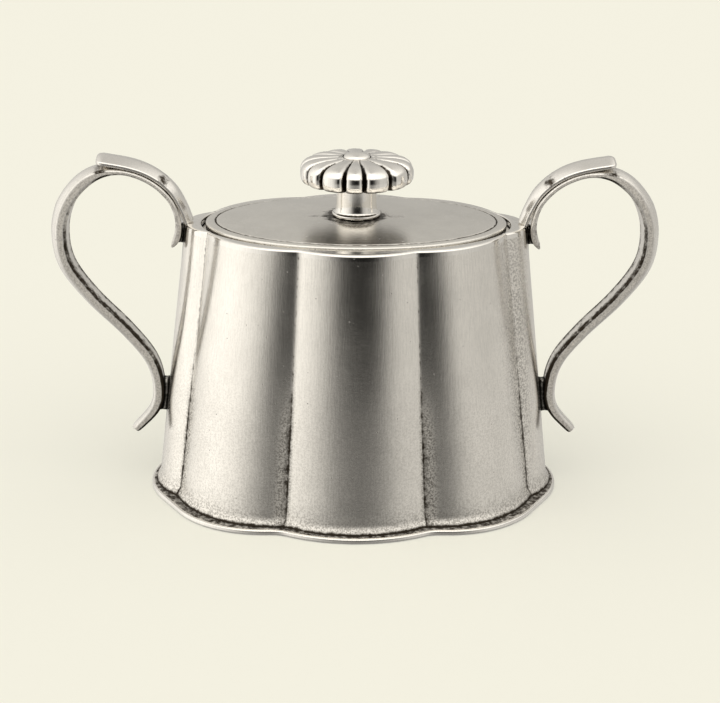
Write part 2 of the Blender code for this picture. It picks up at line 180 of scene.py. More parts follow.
def lobe_circles(plan):
    """The eight lobes as rows of centre x, centre y and radius."""
    end_x, end_y = plan["end_crease"]
    front_x, front_y = plan["front_crease"]
    reach = plan["end_reach"]
    depth = plan["front_reach"]
    rise = plan["shoulder_rise"]
    end_centre = (reach**2 - end_x**2 - end_y**2) / (2 * (reach - end_x))
    front_centre = (depth**2 - front_x**2 - front_y**2) / (2 * (depth - front_y))
    chord = Vector((front_x - end_x, front_y - end_y))
    radius = (chord.length**2 / 4 + rise**2) / (2 * rise)
    outward = Vector((chord.y, -chord.x)).normalized()
    corner = Vector((end_x + front_x, end_y + front_y)) / 2 - outward * (radius - rise)
    circles = []
    for side in (1, -1):
        circles.append((side * end_centre, 0, reach - end_centre))
        circles.append((0, side * front_centre, depth - front_centre))
        circles.append((corner.x, side * corner.y, radius))
        circles.append((-corner.x, side * corner.y, radius))
    return np.array(circles)


def crease_turns(plan):
    """The azimuths of the eight creases, going round from +X."""
    end = math.atan2(plan["end_crease"][1], plan["end_crease"][0])
    front = math.atan2(plan["front_crease"][1], plan["front_crease"][0])
    quarter = [end, front]
    turns = quarter + [math.pi - a for a in reversed(quarter)]
    return np.array(turns + [a + math.pi for a in turns])


LOBE_COLUMNS = 36


def lobed_row(height, outset=0.0, soften=CREASE_SOFTENING, plan=None):
    """Points round a lobed outline, by default the wall's, moved out by outset, and how far each is from the
    nearest crease: above 0 on a shoulder lobe, below 0 on an end or front lobe. soften rounds the creases."""
    plan = plan or plan_at(height)
    circles = lobe_circles(plan)
    creases = crease_turns(plan)
    turns = []
    for i in range(8):
        start, stop = creases[i - 1], creases[i]
        if stop < start:
            start -= 2 * math.pi
        share = np.arange(LOBE_COLUMNS) / LOBE_COLUMNS
        eased = 0.5 * share + 0.25 * (1 - np.cos(math.pi * share))
        turns.append(start + (stop - start) * eased)
    turns = np.concatenate(turns)
    way = np.stack([np.cos(turns), np.sin(turns)], -1)
    along = way @ circles[:, :2].T
    room = (circles[:, 2] + outset) ** 2 - (circles[:, :2] ** 2).sum(1) + along**2
    reach = np.where(room > 0, along + np.sqrt(np.maximum(room, 0)), 0)
    reach = np.sort(reach, 1)
    blend = np.maximum(soften - (reach[:, -1] - reach[:, -2]), 0) / soften
    radius = reach[:, -1] + blend**2 * soften / 4
    apart = np.abs((turns[:, None] - creases[None, :] + math.pi) % (2 * math.pi) - math.pi).min(1)
    on_shoulder = np.repeat(np.arange(8) % 2 * 2 - 1, LOBE_COLUMNS)
    points = np.stack([radius * way[:, 0], radius * way[:, 1], np.full_like(radius, height)], -1)
    return points, apart * radius * on_shoulder


def oval_row(half_axes, height, inset=0.0):
    """Points round an oval, in the directions of the lobed rows."""
    a, b = half_axes[0] - inset, half_axes[1] - inset
    row, _ = lobed_row(RIM_HEIGHT)
    turns = np.arctan2(row[:, 1] / b, row[:, 0] / a)
    return np.stack([a * np.cos(turns), b * np.sin(turns), np.full_like(turns, height)], -1)


def quarter_round(radius, steps):
    """(inset, drop) pairs round a quarter circle, from the side face to the top face."""
    turns = np.linspace(0, math.pi / 2, steps)
    return [(radius * (1 - math.cos(a)), radius * (1 - math.sin(a))) for a in turns]


# ---- the bowl -----------------------------------------------------------------------------------

WALL_ROWS = 90
WALL_UNEVENNESS = 0.00005


def lug_shadow(points, low, high, widest):
    """Tarnish and painted shade on the end walls around a lug, tapering away below it."""
    x, y, z = points[..., 0], points[..., 1], points[..., 2]
    end = smooth(np.abs(x), 0.040, 0.043)
    tongue = widest * smooth(z, low - 0.013, low + 0.002) * (1 - smooth(z, high, high + 0.004))
    return end * smooth(tongue - np.abs(y), -0.0006, 0.0010)


def crease_wear(height, apart):
    """The wall's tarnish and grain, both strongest low down: a black line in each crease, a band on its
    shoulder side, and a black angle at the foot."""
    above_foot = height - FOOT_THICKNESS
    low = 1 - smooth(height, 0.022, 0.050)
    line = (0.55 + 0.35 * low) * falloff(apart - 0.0001, 0.00042 + 0.00014 * low)
    foot = 0.9 * falloff(above_foot, 0.0008) + 0.18 * falloff(above_foot, 0.0030)
    beside = np.where(apart > 0, falloff(apart - 0.0006, 0.0011), falloff(apart, 0.0006))
    patina_and_shade = np.maximum(np.maximum(line, foot), beside * (0.20 + 0.40 * low))
    band = np.where(apart > 0, falloff(apart - 0.0009, 0.0017 + 0.0006 * low), falloff(apart, 0.0006))
    near_foot = 0.5 * falloff(above_foot, 0.0045)
    grain = 0.05 + 0.14 * low + np.maximum(band * (0.03 + 0.97 * low), near_foot)
    return patina_and_shade, grain


def dented(points):
    """The wall's points pushed in by up to a tenth of a millimetre, as hand-raised sheet is uneven. Its foot
    and its rim stay true."""
    x, y, z = points[..., 0], points[..., 1], points[..., 2]
    spread = 0.5 * waves(x, y, z * 0.35, 0.011, 3)
    spread += 0.5 * waves(x, y, z * 0.5, 0.024, 4)
    inwards = points * (-1, -1, 0) / np.linalg.norm(points[..., :2], axis=-1, keepdims=True)
    free = smooth(z, 0.003, 0.012) * (1 - smooth(z, 0.066, 0.073))
    return points + inwards * (WALL_UNEVENNESS * (1 + spread) * free)[..., None]


def body_wall(material):
    """The lobed wall: gently uneven, with a soldered fillet where it meets the foot."""
    heights = FOOT_THICKNESS + (COLLAR_BOTTOM - FOOT_THICKNESS) * np.linspace(0, 1, WALL_ROWS) ** 1.25
    rows, patinas, grains = [], [], []
    for height in heights:
        row, apart = lobed_row(height, FOOT_FILLET * falloff(height - FOOT_THICKNESS, 0.0016))
        patina_and_shade, grain = crease_wear(height, apart)
        rows.append(row)
        patinas.append(patina_and_shade)
        grains.append(grain)
    outer, patina_and_shade, grain = np.array(rows), np.array(patinas), np.array(grains)
    # The creases beside the right handle were left darkest, on both sides.
    crease_x = plan_at(0.040)["end_crease"][0]
    beside = np.hypot(outer[..., 0] - crease_x, np.abs(outer[..., 1]) - 0.013)
    grain = np.maximum(grain, 0.75 * falloff(beside, 0.0065) * (outer[..., 0] > 0))
    # Tarnish and painted shade round each lug, tapering away below it.
    for (low, high), widest in ((LOWER_LUG, 0.0034), (UPPER_LUG, 0.0030)):
        patina_and_shade = np.maximum(patina_and_shade, 0.95 * lug_shadow(outer, low, high, widest))
    outer = dented(outer)
    inner = [lobed_row(h, -WALL_THICKNESS)[0] for h in (COLLAR_BOTTOM, 0.050, 0.025, FOOT_THICKNESS)]
    points = np.concatenate([outer, np.array(inner)])
    patina_and_shade = np.concatenate([patina_and_shade, np.full((len(inner), points.shape[1]), 0.30)])
    grain = np.concatenate([grain, np.zeros((len(inner), points.shape[1]))])
    mesh = grid_mesh("fluted_wall", points, patina_and_shade, grain, closed_rows=True)
    return add_piece(mesh, material, "bowl", "brushed_silver", "body_wall")


def foot_plate(material):
    """The flat foot: a thin polished edge, a dull grainy top, and black in the angle under the wall."""
    edge = quarter_round(FOOT_EDGE_RADIUS, EDGE_ROWS)
    rows, patina_and_shade, grain = [], [], []

    def add(height, inset, plan, tone, rough):
        """One lobed row of even tarnish and grain."""
        row, _ = lobed_row(height, -inset, PLATE_SOFTENING, plan)
        rows.append(row)
        patina_and_shade.append(np.full(len(row), tone))
        grain.append(np.full(len(row), rough))

    for inset, drop in reversed(edge):
        add(drop, inset, PLATE_PLAN, 0.30, 0.3)
    for inset, drop in edge:
        add(FOOT_THICKNESS - drop, inset, PLATE_PLAN, 0.02, 0.1)
    for share, tone in ((0.04, 0.20), (0.10, 0.66), (0.45, 0.70), (0.75, 0.74), (0.92, 0.85), (1.0, 1.0)):
        plan = mixed_plan(PLATE_PLAN, FOOT_PLAN, share)
        add(FOOT_THICKNESS, FOOT_EDGE_RADIUS * (1 - share), plan, tone, 0.75)
    add(FOOT_THICKNESS, 0.004, FOOT_PLAN, 0.5, 0.5)
    mesh = grid_mesh("foot_flange", np.array(rows), np.array(patina_and_shade), np.array(grain), caps=(True, True))
    return add_piece(mesh, material, "bowl", "brushed_silver", "base_plate")


def rim_collar(material):
    """The flat collar: rounded outside, with a softened edge round the mouth."""
    rows, patina_and_shade = [], []

    def add(row, tone):
        """One row, with one tarnish for all of it or for each point."""
        rows.append(row)
        patina_and_shade.append(np.full(len(row), tone) if np.isscalar(tone) else tone)

    # Painted shade down the mouth's inner wall in the gap round the lid, darkest at the collar's lower inside
    # edge.
    add(oval_row(MOUTH, COLLAR_BOTTOM), 0.9)
    add(lobed_row(COLLAR_BOTTOM)[0], 0.0)
    add(lobed_row(COLLAR_BOTTOM + 0.0004)[0], 0.0)
    for inset, drop in quarter_round(COLLAR_EDGE_RADIUS, EDGE_ROWS):
        row, apart = lobed_row(RIM_HEIGHT - drop, -inset)
        add(row, 0.55 * falloff(apart, 0.0004) * (1 - inset / COLLAR_EDGE_RADIUS))
    outside, _ = lobed_row(RIM_HEIGHT, -COLLAR_EDGE_RADIUS)
    inside = oval_row(MOUTH, RIM_HEIGHT, -MOUTH_EDGE_RADIUS)
    for share, tone in ((0.12, 0.16), (0.35, 0.30), (0.65, 0.34), (0.9, 0.22)):
        add(outside + (inside - outside) * share, tone)
    for inset, drop in reversed(quarter_round(MOUTH_EDGE_RADIUS, 4)):
        add(oval_row(MOUTH, RIM_HEIGHT - drop, -inset), 0.10)
    mesh = grid_mesh("rim_collar_top", np.array(rows), np.array(patina_and_shade), closed_rows=True)
    return add_piece(mesh, material, "bowl", "polished_silver", "rim_collar")


# ---- the lid ------------------------------------------------------------------------------------

# These three are shares of the lid's half axes.
ENGRAVED = 0.934
ENGRAVED_HALF_WIDTH = 0.0092
STUD_HOLE = 0.06
ENGRAVED_DEPTH = 0.00028
# (share, tarnish) from the engraved line in to the knob's foot, under which the lid is black.
LID_TARNISH = (
    (0.91, 0.18), (0.85, 0.18), (0.75, 0.18), (0.65, 0.18), (0.55, 0.18), (0.45, 0.18), (0.36, 0.18),
    (0.29, 0.18), (0.245, 0.30), (0.21, 0.50), (0.185, 0.70), (0.165, 0.85), (STUD_HOLE, 0.50),
)


def lid(material):
    """The domed lid with its rounded edge and its engraved line, painted shade down its side, and tarnish and
    the knob's painted reflection round the knob.
    """
    rows, patina_and_shade = [], []

    def add(share, base, tone):
        """One oval row on a dome, at a share of the lid's size."""
        row = oval_row((LID[0] * share, LID[1] * share), base)
        row[:, 2] += LID_DOME * (1 - share**2)
        rows.append(row)
        patina_and_shade.append(np.full(len(row), tone))

    for share in (STUD_HOLE, 0.3, 0.6, 0.97):
        add(share, LID_BOTTOM, 0.35)
    # Painted shade down the lid's side, darkest at the bottom, in the gap round the lid.
    rows.append(oval_row(LID, LID_BOTTOM + 0.0003))
    patina_and_shade.append(np.full(len(rows[0]), 0.8))
    for inset, drop in quarter_round(LID_EDGE_RADIUS, EDGE_ROWS):
        rows.append(oval_row(LID, LID_EDGE_TOP - drop, inset))
        patina_and_shade.append(np.full(len(rows[0]), 0.35 * drop / LID_EDGE_RADIUS))
    add(0.975, LID_EDGE_TOP, 0.08)
    add(0.955, LID_EDGE_TOP, 0.16)
    for step in np.linspace(-1, 1, 7):
        groove = math.cos(step * math.pi / 2) ** 2
        share = ENGRAVED - ENGRAVED_HALF_WIDTH * step
        add(share, LID_EDGE_TOP - ENGRAVED_DEPTH * groove, 0.16 + 0.84 * groove**0.4)
    for share, tone in LID_TARNISH:
        add(share, LID_EDGE_TOP, tone)
    points, patina_and_shade = np.array(rows), np.array(patina_and_shade)
    x, y = points[..., 0], points[..., 1]
    # Tarnish in a ring round the knob's foot and in smudges beside it, and the knob's painted reflection in
    # front of the foot.
    round_knob = falloff(np.hypot(x + 0.0004, y * 0.9) - 0.0073, 0.0014)
    beside_knob = falloff(np.hypot((np.abs(x) - 0.0105) * 0.6, y + 0.001), 0.0021)
    beside_knob += falloff(np.hypot(x, y + 0.0092), 0.0024)
    spots = np.maximum(0.85 * round_knob, 0.55 * beside_knob)
    patina_and_shade = np.maximum(patina_and_shade, spots * (points[..., 2] > LID_EDGE_TOP))
    mesh = grid_mesh("domed_lid", points, patina_and_shade, closed_rows=True)
    return add_piece(mesh, material, "lid", "brushed_silver", "lid_plate")


# ---- the knob -----------------------------------------------------------------------------------

# The petals' widths in degrees, going round from the front towards +X. Their grooves were cut by hand.
PETAL_WIDTHS = (30.7, 29.6, 26, 24, 28, 23, 27, 25.5, 24, 27, 25, 21.7, 27.9, 20.6)
FIRST_GROOVE = 6.7
PETAL_COLUMNS = 16
PETAL_EVENNESS = 0.35  # 1 would space a petal's columns evenly, and less crowds them into the grooves
GROOVE_DEPTH = 0.0017
HEAD_RADIUS = 0.0152
HEAD_UNDERSIDE_RADIUS = 0.0122
HEAD_WIDEST = 0.0895
HEAD_ROUNDING = 0.50  # 1 would make the cushion's section an ellipse, and less squares it up
BUTTON_RADIUS = 0.0036
BUTTON_GAP = 0.0002
BUTTON_SEAT = HEAD_TOP - 0.0009
STEM_RADIUS = 0.0054
STEM_FOOT_RADIUS = 0.0065


def petal_columns():
    """Each column's azimuth, how near it is to a groove from 0 to 1, and the depth of its petal's grooves."""
    turns, across, depths = [], [], []
    turn = FIRST_GROOVE
    for i, width in enumerate(PETAL_WIDTHS):
        share = np.arange(PETAL_COLUMNS) / PETAL_COLUMNS
        eased = 0.5 - 0.5 * np.cos(math.pi * share)
        share = PETAL_EVENNESS * share + (1 - PETAL_EVENNESS) * eased
        turns.append(np.radians(turn + width * share))
        across.append(np.abs(2 * share - 1))
        depths.append(np.full(PETAL_COLUMNS, GROOVE_DEPTH + 0.0002 * math.sin(2.3 * i)))
        turn += width
    return np.concatenate(turns), np.concatenate(across), np.concatenate(depths)


def cushion_profile(inner):
    """The head from its underside out, up and over to the inner radius, as radius, height, how far the
    grooves cut sideways and downwards, and darkness: painted shade on the underside, tarnish by the button."""
    # Painted shade on the head's underside, darkest by the stem and fading out at the widest.
    profile = [(STEM_RADIUS, STEM_TOP, 0, 0, 0.9), (0.0085, STEM_TOP, 0.1, 0, 0.8)]
    profile.append((0.0112, STEM_TOP + 0.0001, 0.5, 0, 0.7))
    for a in np.linspace(-78, 0, 9):
        swell = math.cos(math.radians(a)) ** HEAD_ROUNDING
        low = math.sin(math.radians(a))
        radius = HEAD_UNDERSIDE_RADIUS + (HEAD_RADIUS - HEAD_UNDERSIDE_RADIUS) * swell
        height = HEAD_WIDEST + (HEAD_WIDEST - STEM_TOP) * low
        profile.append((radius, height, 0.55 + 0.45 * swell, 0, 0.75 * abs(low)))
    for a in np.linspace(5, 90, 20):
        out = abs(math.cos(math.radians(a))) ** HEAD_ROUNDING
        up = math.sin(math.radians(a)) ** (1.5 * HEAD_ROUNDING)
        radius = inner + (HEAD_RADIUS - inner) * out
        height = HEAD_WIDEST + (HEAD_TOP - HEAD_WIDEST) * up
        profile.append((radius, height, out, 0.9 * up * min(1, 2.4 * out), 0.0))
    profile.append((inner, BUTTON_SEAT, 0, 0, 1.0))
    return profile


def knob_petals(material):
    """The cushion of petals, with deep grooves that run over the top to the button."""
    turns, across, depths = petal_columns()
    sunk = depths * (0.40 * across**2.6 + 0.60 * smooth(across, 0.66, 1.0))
    inner = BUTTON_RADIUS + BUTTON_GAP
    rows, patina_and_shade, near_button = [], [], []
    for radius, height, cut, dip, tone in cushion_profile(inner):
        reach = radius - sunk * cut
        level = height - 0.62 * sunk * dip
        rows.append(np.stack([reach * np.sin(turns), -reach * np.cos(turns), level], -1))
        groove = smooth(across, 0.70, 0.88) * (0.35 + 0.65 * max(cut, dip))
        patina_and_shade.append(np.maximum(groove, tone))
        near_button.append(0.6 * falloff(reach[0] - inner, 0.0006))
    points = np.array(rows)
    on_top = points[..., 2] > HEAD_WIDEST + 0.0015
    patina_and_shade = np.maximum(np.array(patina_and_shade), np.array(near_button)[:, None] * on_top)
    mesh = grid_mesh("knob_petals", points, patina_and_shade, caps=(True, True))
    return add_piece(mesh, material, "lid", "polished_silver", "knob_head")


def turned_piece(name, profile, columns, material, body, slot, *nodes):
    """A lathe-turned piece from (radius, height, tarnish and painted shade), bottom to top."""
    turns = np.linspace(0, 2 * math.pi, columns, endpoint=False)
    rows = [np.stack([r * np.cos(turns), r * np.sin(turns), np.full(columns, z)], -1) for r, z, _ in profile]
    patina_and_shade = [np.full(columns, tone) for _, _, tone in profile]
    mesh = grid_mesh(name, np.array(rows), np.array(patina_and_shade), caps=(True, True))
    return add_piece(mesh, material, body, slot, *nodes)


def knob_button(material):
    """The domed button in the middle of the petals."""
    profile = [(BUTTON_RADIUS * 0.9, BUTTON_SEAT, 1.0), (BUTTON_RADIUS, BUTTON_SEAT + 0.0004, 1.0)]
    for a in np.linspace(0, 84, 9):
        out, up = math.cos(math.radians(a)), math.sin(math.radians(a))
        profile.append((BUTTON_RADIUS * out, HEAD_TOP - 0.0002 + 0.0015 * up, 0.55 * max(0, 1 - 4 * up)))
    turned_piece("domed_button", profile, 48, material, "lid", "polished_silver", "knob_button")


def knob_pillar(material):
    """The stem: a thin turned rim at its foot, a concave flare and a straight shaft."""
    base = LID_CROWN
    wide, narrow = STEM_FOOT_RADIUS, STEM_FOOT_RADIUS - 0.0004
    profile = [(0.0030, base + 0.00005, 1.0), (narrow, base + 0.00005, 1.0)]
    profile += [(wide - 0.0001, base + 0.0002, 0.6), (wide, base + 0.0005, 0.1), (wide, base + 0.0008, 0.0)]
    profile += [(wide - 0.0001, base + 0.0010, 0.1), (narrow, base + 0.0011, 0.65)]
    for a in np.linspace(10, 90, 8):
        out, up = math.sin(math.radians(a)), math.cos(math.radians(a))
        radius = narrow - (narrow - STEM_RADIUS) * out
        profile.append((radius, base + 0.0011 + 0.0026 * (1 - up), 0.2 * up))
    profile += [(STEM_RADIUS, base + 0.0060, 0.0), (STEM_RADIUS, STEM_TOP - 0.0012, 0.15)]
    # Painted shade under the head: the top of the shaft darkens.
    profile += [(STEM_RADIUS + 0.0001, STEM_TOP, 0.8)]
    turned_piece("knob_pillar", profile, 64, material, "lid", "brushed_silver", "knob_stem")


# ---- the handles --------------------------------------------------------------------------------

# The right handle's centreline, as (x, z): upper tail, arch, outermost point, lower bend, curled tip.
HANDLE_PATH = (
    (0.0496, 0.0687), (0.0478, 0.0725), (0.0475, 0.0768), (0.0493, 0.0822), (0.0540, 0.0870),
    (0.0606, 0.0898), (0.0672, 0.0895), (0.0727, 0.0862), (0.0770, 0.0802), (0.0788, 0.0728),
    (0.0775, 0.0641), (0.0713, 0.0549), (0.0623, 0.0453), (0.0562, 0.0371), (0.0542, 0.0295),
    (0.0553, 0.0226), (0.0614, 0.0155),
)
HANDLE_STEPS = 8
LEAF_STEPS = 14
# Widths and crowns are evenly spaced along their path. A crown is how far the outer face is domed.
HANDLE_WIDTHS = (0.0070, 0.0088, 0.0100, 0.0090, 0.0064, 0.0056, 0.0046)
HANDLE_CROWNS = (0.0, 0.0, 0.0, 0.0008, 0.0016, 0.0014, 0.0008, 0.0004, 0.0004)
LEAF_ROOT = (0.0453, 0.0757)
LEAF_FREE_TIP = (0.0687, 0.0926)
LEAF_LIES_ON = (2.5, 3.3, 4.1, 4.9)  # positions along the handle's path
LEAF_THICKNESS = 0.0011
LEAF_CROWN = 0.0013
LEAF_WIDTHS = (0.0056, 0.0064, 0.0074, 0.0086, 0.0096, 0.0092)
LUG_WIDTH = 0.0048
LUG_SINKS_IN = 0.0002


def curve_point(knots, position):
    """The point and direction of the smooth curve through the knots, at a position counted in stretches."""
    index = min(int(position), len(knots) - 2)
    t = position - index
    here, there = Vector(knots[index]), Vector(knots[index + 1])
    before = Vector(knots[index - 1]) if index else here * 2 - there
    after = Vector(knots[index + 2]) if index + 2 < len(knots) else there * 2 - here
    start, stop = (there - before) / 2, (after - here) / 2
    point = (
        here * (2 * t**3 - 3 * t**2 + 1) + start * (t**3 - 2 * t**2 + t)
        + there * (3 * t**2 - 2 * t**3) + stop * (t**3 - t**2)
    )
    along = (
        here * (6 * t**2 - 6 * t) + start * (3 * t**2 - 4 * t + 1)
        + there * (6 * t - 6 * t**2) + stop * (3 * t**2 - 2 * t)
    )
    return point, along.normalized()


def between(values, share):
    """The value at a share of the way along evenly spaced values."""
    return float(np.interp(share * (len(values) - 1), range(len(values)), values))


def strap_thickness(position):
    """Thin under the leaf, thicker at the tail soldered to the wall, and thickest where the strap is bare."""
    bare = float(smooth(position, 5.0, 7.0))
    tail = float(falloff(position - 1.0, 1.0))
    before_tip = float(smooth(len(HANDLE_PATH) - 1 - position, 0, 1.5))
    return (0.0012 + 0.0006 * tail + 0.0016 * bare) * (0.72 + 0.28 * before_tip)


def outward_of(along):
    """The direction square to the path, away from the finger loop."""
    return Vector((-along.y, along.x))


def strap_outline(width, thickness, crown, corner):
    """(across, up, kind) round a strap. kind is 0 for the inner face, 1 for an edge line, 2 for a side face
    and 3 for the crowned outer face."""
    half = width / 2
    low, high = -thickness / 2, thickness / 2
    corner = min(corner, thickness * 0.4, half * 0.5)
    right = []
    for a in (90, 60, 30, 0):
        out, down = math.cos(math.radians(a)), math.sin(math.radians(a))
        right.append((half - corner + corner * out, low + corner - corner * down, 1))
    right.append((half, 0.4 * low + 0.1 * high, 2))
    right.append((half, high * 0.45, 2))
    for a in (0, 40, 80):
        out, up = math.cos(math.radians(a)), math.sin(math.radians(a))
        right.append((half - corner * (1 - out), high - corner * (1 - up), 1))
    reach = half - corner
    for share in (0.82, 0.6, 0.36, 0.14):
        right.append((reach * share, high + crown * (1 - share**2), 3))
    left = [(-across, up, kind) for across, up, kind in reversed(right)]
    return [(0.0, low, 0)] + right + left


def end_round(distance, radius):
    """How much of the full width is left this far from a rounded end."""
    away = min(max(distance / radius, 0.0), 1.0)
    return math.sqrt(max(0.03, 1 - (1 - away) ** 2))


def strap_piece(name, sections, side, tones, grains, material, node):
    """A strap through (centre, outward, outline) sections, with the grain of each kind of face."""
    rows, patina_and_shade, grain = [], [], []
    for place, (centre, outward, outline) in enumerate(sections):
        row = []
        for across, up, kind in outline:
            point = centre + outward * up
            row.append((side * point.x, across, point.y))
        rows.append(row)
        patina_and_shade.append([tones(place, across, up, kind) for across, up, kind in outline])
        grain.append([grains[kind] for _, _, kind in outline])
    mesh = grid_mesh(name, np.array(rows), np.array(patina_and_shade), np.array(grain), caps=(True, True))
    return add_piece(mesh, material, "bowl", "brushed_silver", node)


def path_stations(knots, steps):
    """Positions along a path, with extra ones close to each end for its rounding, and the path's lengths."""
    count = len(knots) - 1
    inner = np.linspace(0, count, count * steps + 1)
    extra = np.array([0.02, 0.06])
    positions = np.unique(np.concatenate([inner, extra, count - extra]))
    points = np.array([curve_point(knots, p)[0] for p in positions])
    lengths = np.concatenate([[0], np.cumsum(np.linalg.norm(np.diff(points, axis=0), axis=1))])
    return positions, lengths


def handle_scroll(label, side, material):
    """The strap of a handle: tapered, crowned on its outside, with dark edges inside the loop."""
    positions, lengths = path_stations(HANDLE_PATH, HANDLE_STEPS)
    count = len(HANDLE_PATH) - 1
    sections = []
    for position, length in zip(positions, lengths):
        centre, along = curve_point(HANDLE_PATH, position)
        narrow = end_round(length, 0.0022) * end_round(lengths[-1] - length, 0.0021)
        width = between(HANDLE_WIDTHS, position / count) * narrow
        pointed = min(1, 0.25 + length / 0.0032)
        thickness = strap_thickness(position) * (0.55 + 0.45 * narrow) * pointed
        crown = between(HANDLE_CROWNS, position / count)
        outline = strap_outline(width, thickness, crown, STRAP_EDGE_RADIUS)
        sections.append((centre, outward_of(along), outline))

    def tones(place, across, up, kind):
        """Darkest along the inner edges of the long diagonal, where tarnish is deepened by painted
        reflection, with painted shade on the inner side at the lower lug and on the outer face under the leaf
        and its tip.
        """
        position = positions[place]
        # Tarnish on the edges; the diagonal's extra darkening is painted reflection.
        diagonal = float(smooth(position, 7.6, 10.0))
        tone = (0.06 + 0.20 * diagonal, 0.24, 0.05, 0.0)[kind]
        if kind == 1 and up < 0:
            tone = 0.46 + 0.36 * diagonal
        # Painted shade on the inner side at the lower lug, between the strap and the wall.
        if kind in (0, 1) and up < 0:
            tone += 0.45 * falloff(position - 14.4, 0.8)
        # Painted shade on the outer face under the leaf.
        if position < 5.5 and kind == 3:
            tone = 0.30
        # Painted shade on the strap under the leaf's lifted tip.
        return tone + 0.60 * falloff(position - 6.0, 0.35) * (kind in (1, 3))

    strap_piece("scroll_" + label, sections, side, tones, (0.25, 0.50, 1.0, 0.08), material,
                "handle_scroll_" + label)


def leaf_path():
    """From the rim along the strap's outer face to the lifted tip."""
    knots = [LEAF_ROOT]
    for position in LEAF_LIES_ON:
        centre, along = curve_point(HANDLE_PATH, position)
        lift = (strap_thickness(position) + LEAF_THICKNESS) / 2 + 0.0002
        knots.append(tuple(centre + outward_of(along) * lift))
    return knots + [LEAF_FREE_TIP]


def handle_leaf(label, side, material):
    """The thumb leaf: a crowned strip along the strap that widens towards its lifted tip."""
    knots = leaf_path()
    positions, lengths = path_stations(knots, LEAF_STEPS)
    count = len(knots) - 1
    sections = []
    for position, length in zip(positions, lengths):
        centre, along = curve_point(knots, position)
        narrow = end_round(lengths[-1] - length, 0.0016)
        width = between(LEAF_WIDTHS, position / count) * (0.35 + 0.65 * narrow)
        thickness = LEAF_THICKNESS * (0.6 + 0.4 * narrow)
        crown = LEAF_CROWN * (0.5 + 0.5 * narrow)
        outline = strap_outline(width, thickness, crown, LEAF_EDGE_RADIUS)
        sections.append((centre, outward_of(along), outline))
    shoulder = lengths[-1] * 0.42

    def tones(place, across, up, kind):
        """Painted shade below, dark at the root, with a dark spot on each side of the shoulder."""
        # Painted shade on the leaf's underside.
        if up < 0:
            return 0.35
        spot = math.hypot((lengths[place] - shoulder) * 0.8, (abs(across) - 0.0030) * 0.5)
        root = 0.35 * falloff(lengths[place], 0.0018)
        return max(root, 0.85 * falloff(spot, 0.0015))

    strap_piece("thumb_leaf_" + label, sections, side, tones, (0.1, 0.1, 0.2, 0.0), material,
                "handle_leaf_" + label)


def strap_face_at(height, first, last):
    """The x of the strap's bowl-side face at a height, looked for between two path positions."""
    faces = []
    for position in np.linspace(first, last, 81):
        centre, along = curve_point(HANDLE_PATH, position)
        half = outward_of(along) * strap_thickness(position) / 2
        faces.append(min(centre + half, centre - half, key=lambda point: point.x))
    return min(faces, key=lambda point: abs(point.y - height)).x


def handle_lug(place, label, side, low, high, stretch, material):
    """A web between the wall and the strap, with fillets where it meets them."""
    steps = np.linspace(0, 1, 7)
    rows = []
    for share in np.linspace(0, 1, 13):
        z = low + (high - low) * share
        wall = plan_at(z)["end_reach"] - LUG_SINKS_IN
        strap = strap_face_at(z, *stretch) + LUG_SINKS_IN
        thin = end_round(min(share, 1 - share) * (high - low), 0.0009)
        half = LUG_WIDTH / 2 * (0.45 + 0.55 * thin)
        near = [(wall + (strap - wall) * s, half * (1 - 0.34 * math.sin(math.pi * s))) for s in steps]
        row = [(side * x, -y, z) for x, y in near] + [(side * x, y, z) for x, y in reversed(near)]
        rows.append(row)
    points = np.array(rows)
    along = np.concatenate([steps, steps[::-1]])
    # Painted shade on the recessed web: darkest where it meets the wall and the strap, lighter between.
    tone = np.broadcast_to(0.95 - 0.6 * np.sin(math.pi * along) ** 2, points.shape[:2])
    name = "{}_lug_{}".format(place, label)
    mesh = grid_mesh(name, points, tone, caps=(True, True))
    return add_piece(mesh, material, "bowl", "dark_patina", "handle_" + name)


def handles(silver, dark):
    """Both handles. The left one mirrors the right."""
    for label, side in (("right", 1), ("left", -1)):
        handle_scroll(label, side, silver)
        handle_leaf(label, side, silver)
        handle_lug("upper", label, side, *UPPER_LUG, (0, 2), dark)
        handle_lug("lower", label, side, *LOWER_LUG, (12, 16), dark)


# ---- materials ----------------------------------------------------------------------------------

# Dark colours mixed in for tarnish, and for the painted shade that is carried with it.
TARNISH_AND_SHADE = (0.055, 0.044, 0.032)
DEEP_TARNISH_AND_SHADE = (0.038, 0.030, 0.022)
OLDEST_TARNISH_AND_SHADE = (0.020, 0.018, 0.014)


def add_node(tree, kind, values=None, **settings):
    """A shader node with its settings, input values and input links."""
    node = tree.nodes.new("ShaderNode" + kind)
    for key, value in settings.items():
        setattr(node, key, value)
    for key, value in (values or {}).items():
        if isinstance(value, bpy.types.NodeSocket):
            tree.links.new(value, node.inputs[key])
        else:
            node.inputs[key].default_value = value
    return node


def math_of(tree, operation, a, b=0.0, clamp=False):
    """One sum, product or other function of two values."""
    return add_node(tree, "Math", {0: a, 1: b}, operation=operation, use_clamp=clamp).outputs[0]


def sum_of(tree, *weighted, shift=0.0):
    """The sum of (value, weight) pairs and a shift."""
    total = shift
    for value, weight in weighted:
        node = add_node(tree, "Math", {0: value, 1: weight, 2: total}, operation="MULTIPLY_ADD")
        total = node.outputs[0]
    return total


def remap(tree, value, low, high, to_low=0.0, to_high=1.0):
    """A smooth step from to_low at low to to_high at high."""
    values = {"Value": value, "From Min": low, "From Max": high, "To Min": to_low, "To Max": to_high}
    return add_node(tree, "MapRange", values, interpolation_type="SMOOTHSTEP").outputs["Result"]


